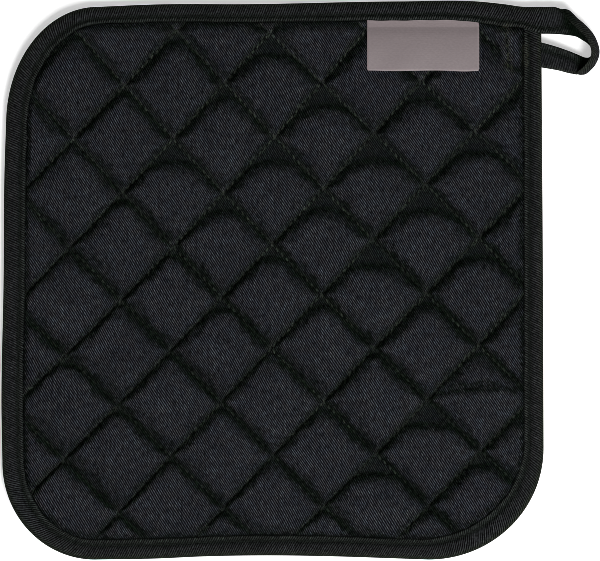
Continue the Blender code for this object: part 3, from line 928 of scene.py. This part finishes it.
# ---------------------------------------------------------------- the stitches
def stitch_rows(path, facing, length, slant):
    """Both ends of every stitch along a path, a little apart, and the way that each one faces."""
    run = run_along(path)
    marks = np.arange(0, run[-1] - length, length)
    start, end = (
        np.column_stack([np.interp(marks + share * length, run, path[:, axis]) for axis in range(3)])
        for share in (STITCH_GAP, 1 - STITCH_GAP)
    )
    marks = marks + length / 2
    facing = np.column_stack([np.interp(marks, run, facing[:, axis]) for axis in range(3)])
    aside = np.cross(facing, end - start) * slant
    return start - aside, end + aside, facing


def make_thread(name, rows, radius, material):
    """Stitches as one mesh: each a short tube, raised in its middle and thin at its ends."""
    start, end, facing = (np.concatenate(parts) for parts in zip(*rows))
    facing /= np.linalg.norm(facing, axis=1)[:, None]
    aside = np.cross(end - start, facing)
    aside /= np.linalg.norm(aside, axis=1)[:, None]
    share = np.linspace(0, 1, STITCH_RINGS)
    middle = start[:, None] + (end - start)[:, None] * share[None, :, None]
    lift = THREAD_LIFT * (2 * np.sqrt(hump(share)) - 1)
    middle = middle + facing[:, None] * lift[None, :, None]
    thin = radius * (0.45 + 0.55 * np.sqrt(hump(share)))
    angle = np.arange(THREAD_SIDES) * 2 * np.pi / THREAD_SIDES
    ring = aside[:, None, None] * np.cos(angle)[None, None, :, None]
    ring = ring + facing[:, None, None] * np.sin(angle)[None, None, :, None]
    points = middle[:, :, None] + ring * thin[None, :, None, None]
    faces = tube_faces(len(start), STITCH_RINGS, THREAD_SIDES)
    return add_piece(name, points.reshape(-1, 3), faces, material)


def quilting_rows():
    """The stitches of every seam, on the top and on the underside, between the tape's inner edges."""
    edge = closed_ring(INNER_CORNERS)
    rows = []
    for falling in (True, False):
        seams, other = (FALLING_SEAMS, RISING_SEAMS) if falling else (RISING_SEAMS, FALLING_SEAMS)
        length, slant = (FALLING_STITCH, -STITCH_SLANT) if falling else (RISING_STITCH, STITCH_SLANT)
        along = np.linspace(0.0, len(other) - 1.001, SEAM_POINTS)
        for number in range(1, len(seams) - 1):
            seam = np.full(along.shape, float(number))
            x, y = lines_cross(seam, along) if falling else lines_cross(along, seam)
            depth, _ = depth_inside(np.column_stack((x, y)), edge)
            covered = (x > LABEL_LEFT) & (x < LABEL_RIGHT) & (y > LABEL_PROFILE[-1][0])
            faded = falling & (number == FADED_SEAM[0]) & (x > FADED_SEAM[1])
            keep = (depth > SEAM_END) & ~covered & ~faded
            if keep.sum() < LEAST_SEAM_POINTS:
                continue
            x, y = x[keep], y[keep]
            for way in (1.0, -1.0):
                path = np.column_stack((x, y, np.full(len(x), MIDDLE + way * SEAM_HALF)))
                facing = np.tile((0.0, 0.0, way), (len(x), 1))
                rows.append(stitch_rows(path, facing, length, slant * way))
    return rows


def topstitch_rows(lines):
    """The stitches along the tape's groove, above and below, round the square and on along the loop."""
    inner, outer, _, past_turn, _ = lines
    across = (GROOVE_FROM_INNER / np.linalg.norm(outer - inner, axis=1))[:, None]
    above = (GROOVE_HEIGHT * thinning(past_turn) + LIFT * over_start(past_turn))[:, None]
    keep = past_turn - past_turn[0] >= TOPSTITCH_START
    rows = []
    for way in (1.0, -1.0):
        height = way * above
        path = tape_surface(across, height, lines)[:, 0]
        facing = (path - tape_surface(across, 0 * height, lines)[:, 0]) / np.abs(height)
        rows.append(stitch_rows(path[keep], facing[keep], TAPE_STITCH, TAPE_SLANT))
    return rows


# ================================================================ finishes
def operators(operation):
    """The two methods of Number for one operation: with the other value second, and with it first."""
    def plain(self, other):
        return self.paint.math(operation, self, other)

    def reflected(self, other):
        return self.paint.math(operation, other, self)

    return plain, reflected


class Number:
    """A shader socket that adds up like a number: each operator puts a Math node behind it."""

    def __init__(self, paint, socket):
        self.paint = paint
        self.socket = socket

    __add__, __radd__ = operators("ADD")
    __sub__, __rsub__ = operators("SUBTRACT")
    __mul__, __rmul__ = operators("MULTIPLY")
    __truediv__, __rtruediv__ = operators("DIVIDE")
    __pow__, _ = operators("POWER")
    __mod__, _ = operators("FLOORED_MODULO")


class Paint:
    """One Principled material. `constants` are set on the shader's own sockets."""

    def __init__(self, name, constants):
        self.material = bpy.data.materials.new(name)
        self.material.use_nodes = True
        self.tree = self.material.node_tree
        self.shader = self.tree.nodes["Principled BSDF"]
        for socket, value in constants.items():
            self.shader.inputs[socket].default_value = value

    def node(self, kind, settings=None, sockets=None):
        """A node of a kind, with its settings first and then values or links on its sockets."""
        made = self.tree.nodes.new(kind)
        for key, value in (settings or {}).items():
            setattr(made, key, value)
        for key, value in (sockets or {}).items():
            self.feed(made.inputs[key], value)
        return made

    def feed(self, socket, value):
        """A link into a socket where the value comes from a node, or else the value itself."""
        if isinstance(value, Number):
            value = value.socket
        if isinstance(value, bpy.types.NodeSocket):
            self.tree.links.new(value, socket)
        else:
            socket.default_value = value

    def math(self, operation, *values):
        made = self.node("ShaderNodeMath", {"operation": operation}, dict(enumerate(values)))
        return Number(self, made.outputs[0])

    def floor(self, value):
        return self.math("FLOOR", value)

    def most(self, one, other):
        return self.math("MAXIMUM", one, other)

    def least(self, one, other):
        return self.math("MINIMUM", one, other)

    def limit(self, value, low=0.0, high=1.0):
        return self.least(self.most(value, low), high)

    def hump(self, share):
        """1 halfway along, falling to 0 at both ends and not below it."""
        return self.most(4.0 * share * (1.0 - share), 0.0)

    def fade(self, distance, reach):
        """1 at distance 0, falling off like a bell."""
        return self.math("EXPONENT", -1.0 * (distance / reach) ** 2.0)

    def beside_line(self, x, y, line, reach):
        """1 on a straight line, falling off like a bell on both sides of it and past its ends."""
        x0, y0, x1, y1 = line
        ahead_x, ahead_y = x1 - x0, y1 - y0
        share = ((x - x0) * ahead_x + (y - y0) * ahead_y) / (ahead_x**2 + ahead_y**2)
        share = self.limit(share)
        aside = (x - x0 - share * ahead_x) ** 2.0 + (y - y0 - share * ahead_y) ** 2.0
        return self.math("EXPONENT", aside / -(reach**2))

    def split(self, vector):
        made = self.node("ShaderNodeSeparateXYZ", None, {0: vector})
        return [Number(self, made.outputs[axis]) for axis in range(3)]

    def join(self, x, y, z=0.0):
        return self.node("ShaderNodeCombineXYZ", None, {0: x, 1: y, 2: z}).outputs[0]

    def attribute(self, name, output="Fac"):
        """The piece's own numbers of that name."""
        return Number(self, self.node("ShaderNodeAttribute", {"attribute_name": name}).outputs[output])

    def place(self):
        """The piece's own place in millimetres: x, y and z."""
        made = self.node("ShaderNodeTexCoord")
        x, y, z = self.split(made.outputs["Object"])
        return x / MM, y / MM, z / MM

    def noise(self, x, y, z, scale, detail=2.0):
        """Clouds between 0 and 1, `scale` to a unit."""
        made = self.node(
            "ShaderNodeTexNoise", {"noise_dimensions": "3D"},
            {"Vector": self.join(x, y, z), "Scale": scale, "Detail": detail, "Roughness": 0.5},
        )
        return Number(self, made.outputs[0])

    def speck(self, x, y):
        """A number between 0 and 1 drawn afresh for every whole x and y."""
        sockets = {"Vector": self.join(x, y)}
        made = self.node("ShaderNodeTexWhiteNoise", {"noise_dimensions": "2D"}, sockets)
        return Number(self, made.outputs["Value"])

    def stroke(self, x, y, turn):
        """Scattered thin strokes that lie at a turn from the sideways direction: 0 between them."""
        along = x * np.cos(turn) + y * np.sin(turn)
        across = y * np.cos(turn) - x * np.sin(turn)
        return self.most(self.noise(along * 0.5, across * 2.4, 0.0, 1.0, 1.0) * 9.0 - 4.9, 0.0)

    def tint(self, colour, brightness):
        """A colour times a number."""
        sockets = {0: colour, "Scale": brightness}
        return self.node("ShaderNodeVectorMath", {"operation": "SCALE"}, sockets).outputs[0]

    def add(self, colour, other):
        """Two colours added."""
        return self.node("ShaderNodeVectorMath", {"operation": "ADD"}, {0: colour, 1: other}).outputs[0]

    def mix(self, share, first, second):
        """A colour between two others."""
        ends = [(*end, 1.0) if isinstance(end, tuple) else end for end in (first, second)]
        sockets = {0: share, 6: ends[0], 7: ends[1]}
        return self.node("ShaderNodeMix", {"data_type": "RGBA"}, sockets).outputs[2]

    def bump(self, height, strength):
        """A surface raised by a height in millimetres."""
        sockets = {"Strength": strength, "Distance": MM, "Height": height}
        return self.node("ShaderNodeBump", None, sockets).outputs[0]

    def flecked(self, colour, place, worn):
        """A colour with pale flecks of rubbed yarn added where the cloth is worn."""
        flecks = self.most(self.noise(*place, 1.5) * 4.0 - 1.8, 0.0)
        return self.add(colour, self.tint(FLECK_COLOUR, worn * flecks))

    def finish(self, **fields):
        """Feeds what changes over the surface into the shader and returns the material."""
        for name, value in fields.items():
            self.feed(self.shader.inputs[name.replace("_", " ").title()], value)
        return self.material


COOL_TWILL = (0.0186, 0.0199, 0.0246)
WARM_TWILL = (0.0216, 0.0203, 0.0222)
GAP_COLOUR = (0.0001, 0.0006, 0.0020)       # between the twill's lines
PAINTED_SHADE_COLOUR = (0.0024, 0.0045, 0.0026)      # greenish colour painted where the painted shade is darkest
FLECK_COLOUR = (0.040, 0.038, 0.024)        # rubbed yarn
STROKE_COLOUR = (0.0150, 0.0172, 0.0135)    # loose yarn along the seams
FALLING_STROKE_TURN = 1.05  # radians from the sideways direction
RISING_STROKE_TURN = 1.1
END_PITCH = 0.303           # from one warp yarn to the next, across the square
PICK_PITCH = 0.484          # from one weft yarn to the next, up the square


def twill_finish():
    """Two-over-one twill. A warp yarn floats over two picks and dips under the third, and each
    yarn's floats lie one pick lower than those of the yarn on its left, which makes the steep lines."""
    paint = Paint("dark_twill", {"Specular IOR Level": 0.01})
    cloth_x, cloth_y, _ = paint.split(paint.attribute("cloth", "Vector"))
    x, y, z = place = paint.place()
    names = ("beside_falling", "beside_rising", "beside_tape", "level", "turned", "painted_light", "fill", "wear")
    falling, rising, tape, level, turned, painted_light, fill, worn = map(paint.attribute, names)
    end = cloth_x / END_PITCH
    end_number = paint.floor(end)
    pick = (cloth_y / PICK_PITCH + end_number) % 3.0
    across = paint.hump(end - end_number)
    over = paint.hump(pick / 2.0) * (0.45 + 0.55 * across)
    under = 0.25 * paint.hump(pick - 2.0)
    line_place = (cloth_y / PICK_PITCH + end - 0.5) / 3.0
    line_number = paint.floor(line_place)
    line = paint.hump((line_place - line_number) * 1.2)
    weave = 0.35 * paint.most(over, under) + 0.65 * line
    yarn = 0.75 + 0.5 * paint.speck(end_number, paint.floor(cloth_y / 5.3))
    slub = paint.noise(cloth_x, cloth_y * 0.35, 0.0, 1.3, 3.0) * 3.2 - 0.6
    slub = paint.most(slub, 0.15)
    cloud = (0.8 + 0.4 * paint.noise(*place, 0.06)) * (0.6 + 0.8 * paint.noise(*place, 0.25))
    # Painted shade: the cloth's colour is darkened on steep slopes, in the diamonds' hollows, along the
    # seams, beside the tape and in the narrow puckers, with ragged edges.
    ragged = paint.noise(line_number * 7.3, (cloth_x - 1.6 * cloth_y) * 0.2, 0.0, 1.0) - 0.5
    ragged = 1.3 * ragged + 1.3 * (paint.noise(*place, 0.45) - 0.5)
    ragged = ragged + 1.7 * (paint.noise(*place, 1.1) - 0.5)
    seam = paint.least(falling, rising) + 1.4 * ragged
    patchy = paint.most(5.0 + 17.0 * ragged, 0.5)
    shade = (0.05 + 0.95 * level ** patchy) * (0.34 + 0.66 * fill)
    shade = shade * (1.0 - 0.5 * paint.fade(seam, 1.0))
    # Painted light lifts the painted shade beside the seams, then a painted shadow darkens the cloth
    # beside the tape.
    shade = paint.most(shade, painted_light * (1.0 + 1.6 * ragged)) * (1.0 - 0.9 * paint.fade(tape, 0.45))
    # Painted shade in the narrow puckers.
    for *line, half, depth in PAINTED_PUCKER_SHADES:
        shade = shade * (1.0 - depth * paint.beside_line(x, y, line, half))
    brightness = (0.01 + 3.7 * weave ** 2.8) * yarn * slub * cloud * shade
    turns_falling = (x - y) / (FALLING_STITCH * 2 ** 0.5) * (2.0 * np.pi)
    turns_rising = (x + y) / (RISING_STITCH * 2 ** 0.5) * (2.0 * np.pi)
    gather = paint.fade(falling, 1.6) * paint.math("COSINE", turns_falling)
    gather = gather + paint.fade(rising, 1.6) * paint.math("COSINE", turns_rising)
    height = 0.10 * weave + 0.16 * gather
    # The painted shade's greenish colour, painted lighter on slopes that face the label's side and kept
    # dark in the painted shadow beside the tape.
    mottle = paint.most(1.0 + 5.0 * (paint.noise(*place, 0.8, 3.0) - 0.5), 0.1)
    lifted = (0.05 + 2.2 * weave ** 2.0) * (0.2 + slub) * (1.0 + turned) * mottle
    lifted = lifted * (1.0 - 0.85 * paint.fade(tape, 0.5))
    deep = paint.tint(PAINTED_SHADE_COLOUR, lifted * (1.0 - shade))
    warm = paint.limit(paint.noise(*place, 0.3, 3.0) * 4.0 - 1.5)
    colour = paint.tint(paint.mix(warm, COOL_TWILL, WARM_TWILL), brightness)
    colour = paint.add(colour, paint.tint(GAP_COLOUR, shade))
    upward = paint.limit(0.6 + y / 150.0, 0.15)
    strokes = paint.fade(falling, 1.3) * paint.stroke(x, y, -FALLING_STROKE_TURN) * upward
    strokes = strokes + 1.3 * paint.fade(rising, 1.3) * paint.stroke(x, y, RISING_STROKE_TURN)
    # The strokes are painted lighter on slopes that face the label's side.
    deep = paint.add(deep, paint.tint(STROKE_COLOUR, strokes * (1.0 + turned)))
    return paint.finish(
        base_color=paint.add(colour, paint.flecked(deep, place, worn)),
        roughness=0.88 - 0.12 * weave,
        normal=paint.bump(height, 0.7),
    )


TAPE_COLOUR = (0.0110, 0.0113, 0.0125)
LIP_COLOUR = (0.0108, 0.0124, 0.0114)       # beside its inner edge
FADED_COLOUR = (0.0118, 0.0140, 0.0094)     # along its outer edge


def tape_finish():
    """Tape twill: ribs almost across the tape, leaning forward at its outer edge, each made of short
    floats. A highlight is painted on the lip and a shadow along its inner edge, shade is painted in the
    groove beside it, the loop is painted lighter, and the outer edge is faded."""
    paint = Paint("tape_twill", {"Specular IOR Level": 0.01})
    along, around, rib = paint.split(paint.attribute("tape", "Vector"))
    from_lip, to_edge, shade, worn = map(paint.attribute, ("from_lip", "to_edge", "shade", "wear"))
    place = paint.place()
    rib_number = paint.floor(rib)
    ridge = paint.hump(rib - rib_number)
    pick = around / 0.34 + 0.5 * rib_number
    float_shape = paint.hump(pick - paint.floor(pick))
    weave = ridge * (0.6 + 0.4 * float_shape)
    uneven = paint.most(paint.noise(along, around, 0.0, 1.1, 3.0) * 3.0 - 0.5, 0.2)
    yarn = 0.75 + 0.5 * paint.speck(rib_number, paint.floor(around / 2.5))
    cloud = 0.75 + 0.5 * paint.noise(*place, 0.12, 3.0)
    # Painted shade in the groove, a painted highlight on the lip and a painted shadow along its inner
    # edge.
    groove = 1.0 - 0.55 * paint.fade(from_lip - GROOVE_FROM_INNER, 0.75)
    lip = (1.0 + 0.35 * paint.fade(from_lip - 0.7, 0.35)) * (1.0 - 0.9 * paint.fade(from_lip, 0.22))
    light = groove * lip * shade
    on_loop = paint.limit(along / 4.0)
    # On the loop the ribs are fainter and the tape is painted lighter, most of all along its outer edge.
    ribs = (0.01 + 4.0 * weave ** 2.6) * (1.0 - 0.55 * on_loop) + 0.45 * on_loop
    olive = paint.fade(to_edge, 1.5) * (1.0 - 0.4 * on_loop)
    brightness = ribs * uneven * yarn * cloud * light * (1.0 + on_loop * (0.15 + 0.3 * olive))
    dye = paint.mix(0.9 * paint.fade(from_lip - 0.8, 1.5), TAPE_COLOUR, LIP_COLOUR)
    colour = paint.tint(paint.mix(0.9 * olive, dye, FADED_COLOUR), brightness)
    # The painted shade's greenish colour, strongest where the painted light is least.
    deep = paint.tint(PAINTED_SHADE_COLOUR, (0.25 + weave) * (1.25 - light) * uneven)
    return paint.finish(
        base_color=paint.add(colour, paint.flecked(deep, place, worn)),
        roughness=0.85 - 0.1 * weave,
        normal=paint.bump(0.10 * weave, 0.8),
    )


LABEL_COLOUR = (0.235, 0.195, 0.200)
QUILTING_COLOUR = (0.0225, 0.0250, 0.0210)
TOPSTITCH_COLOUR = (0.0065, 0.0080, 0.0065)


def label_finish():
    """Woven satin ribbon: fine threads along it, and paler in a narrow band round its edge."""
    paint = Paint("label_satin", {"Specular IOR Level": 0.35, "Sheen Weight": 0.05})
    x, y, z = paint.place()
    thread = paint.hump((y / 0.24) % 1.0)
    cross = paint.hump((x / 0.3 + 0.5 * paint.floor(y / 0.24)) % 1.0)
    mottle = paint.noise(x, y * 2.0, z, 0.9, 3.0)
    edge_x = paint.least(x - LABEL_LEFT, LABEL_RIGHT - x)
    edge_y = paint.least(y - LABEL_PROFILE[-1][0], LABEL_CAUGHT_Y - y)
    border = paint.fade(paint.most(paint.least(edge_x, edge_y), 0.0), 0.45)
    brightness = (0.86 + 0.14 * thread) * (0.92 + 0.16 * cross) * (0.86 + 0.28 * mottle)
    brightness = brightness * (1.0 + 0.3 * border)
    return paint.finish(
        base_color=paint.tint(LABEL_COLOUR, brightness),
        roughness=0.5 - 0.08 * thread,
        normal=paint.bump(0.03 * thread + 0.02 * cross, 0.5),
    )


def quilt_thread_finish():
    """Dark sewing thread, paler in places and most of all towards the label's side."""
    paint = Paint("quilting_thread", {"Specular IOR Level": 0.1})
    x, y, z = paint.place()
    worn = paint.most(paint.noise(x, y, z, 0.12) * 4.0 - 1.1 + y / 200.0, 0.3)
    brightness = worn * paint.most(paint.noise(x, y, z, 0.7, 3.0) * 4.0 - 1.0, 0.15)
    return paint.finish(base_color=paint.tint(QUILTING_COLOUR, brightness), roughness=0.7)


def topstitch_thread_finish():
    """Dark sewing thread that sinks into the tape's groove."""
    paint = Paint("topstitch_thread", {"Specular IOR Level": 0.05})
    brightness = 0.4 + 1.2 * paint.noise(*paint.place(), 1.3, 3.0)
    return paint.finish(base_color=paint.tint(TOPSTITCH_COLOUR, brightness), roughness=0.7)


# ================================================================ the studio
def make_studio():
    """The pale floor, the soft light and the camera straight above."""
    scene = bpy.context.scene
    scene.view_settings.view_transform = "Standard"
    scene.cycles.filter_width = PIXEL_FILTER
    scene.cycles.denoising_prefilter = "NONE"   # which keeps the weave
    corners = np.array(((-1, -1, 0), (1, -1, 0), (1, 1, 0), (-1, 1, 0)), float) * FLOOR_HALF
    paint = Paint("pale_floor", {
        "Base Color": (*FLOOR_COLOUR, 1.0),
        "Roughness": 0.9,
        "Specular IOR Level": 0.1,
        "Emission Color": WHITE,
        "Emission Strength": FLOOR_GLOW,
    })
    floor = add_piece("floor", corners, [np.array([[0, 1, 2, 3]])], paint.material)
    world = bpy.data.worlds.new("studio")
    world.use_nodes = True
    background = world.node_tree.nodes["Background"].inputs
    background["Color"].default_value = WHITE
    background["Strength"].default_value = WORLD_LIGHT
    scene.world = world
    data = bpy.data.lights.new("key", "AREA")
    data.shape = "SQUARE"
    data.size = LIGHT_WIDTH * MM
    data.energy = LIGHT_WATTS
    lamp = bpy.data.objects.new("key", data)
    scene.collection.objects.link(lamp)
    lamp.location = Vector(LIGHT_PLACE) * MM
    to_target = (Vector(LIGHT_TARGET) - Vector(LIGHT_PLACE)) * MM
    lamp.rotation_euler = to_target.to_track_quat("-Z", "Y").to_euler()
    data = bpy.data.cameras.new("camera")
    data.sensor_width = SENSOR_WIDTH
    data.lens = SENSOR_WIDTH * (CAMERA_HEIGHT - SUBJECT_HEIGHT) / VIEW_WIDTH
    camera = bpy.data.objects.new("camera", data)
    scene.collection.objects.link(camera)
    camera.location = (VIEW_CENTRE[0] * MM, VIEW_CENTRE[1] * MM, CAMERA_HEIGHT * MM)
    scene.camera = camera


# ================================================================ everything together
def main():
    make_studio()
    twill, tape, satin = twill_finish(), tape_finish(), label_finish()
    thread, dark_thread = quilt_thread_finish(), topstitch_thread_finish()
    panel = make_panel(twill)
    (binding, loop), lines = make_tape(tape)
    label = make_label(satin)
    quilting = make_thread("quilting_thread", quilting_rows(), QUILT_RADIUS, thread)
    topstitch = make_thread("topstitch_thread", topstitch_rows(lines), TOPSTITCH_RADIUS, dark_thread)

    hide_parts("quilted_panel")
    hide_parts("edge_binding")
    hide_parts("hanging_loop")
    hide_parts("label")
    for piece, slot in (
        (panel, "panel_twill"),
        (binding, "tape_twill"),
        (loop, "tape_twill"),
        (label, "label_satin"),
        (quilting, "panel_twill"),
        (topstitch, "tape_twill"),
    ):
        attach(piece, "root")


main()
